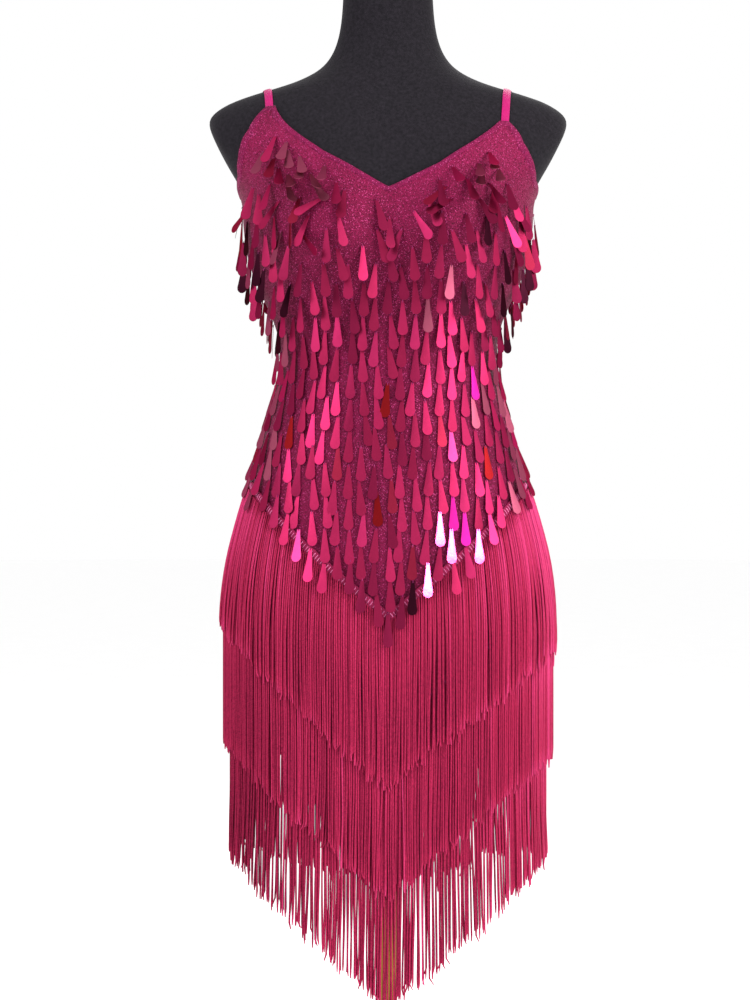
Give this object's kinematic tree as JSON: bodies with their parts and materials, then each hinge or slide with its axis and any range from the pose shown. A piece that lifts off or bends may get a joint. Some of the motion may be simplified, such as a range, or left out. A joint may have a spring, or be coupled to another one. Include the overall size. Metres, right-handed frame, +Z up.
{
  "type": "flapper mini dress on dress form",
  "caption": "Strappy V-neck mini dress with sequins and pointed tiers of long fringe, worn by a limbless dress form on a pole and round base.",
  "frame": {"origin": "centre of the stand's foot, on the floor, which is also the bottom centre of the bounding box", "axes": "+Z up along the pole, -Y to the dress's front, +X to the viewer's right when the front is seen, which is the wearer's left"},
  "size_m": [0.3806, 0.32, 1.4],
  "materials": {
    "stand_metal": "polished",
    "form_jersey": "matte brushed jersey",
    "glitter_cloth": "knit with metallic glitter",
    "strap_elastic": "satin elastic",
    "fringe_thread": "silky rayon thread"
  },
  "bodies": {
    "root": {"form_base": "stand_metal", "form_pole": "stand_metal", "form_body": "form_jersey", "bodice_front": "glitter_cloth", "bodice_back": "glitter_cloth", "skirt_front": "glitter_cloth", "skirt_back": "glitter_cloth", "strap_right_shoulder": "strap_elastic", "strap_left_shoulder": "strap_elastic", "fringe_tier_1": "fringe_thread", "fringe_tier_2": "fringe_thread", "fringe_tier_3": "fringe_thread"}
  },
  "joints": []
}
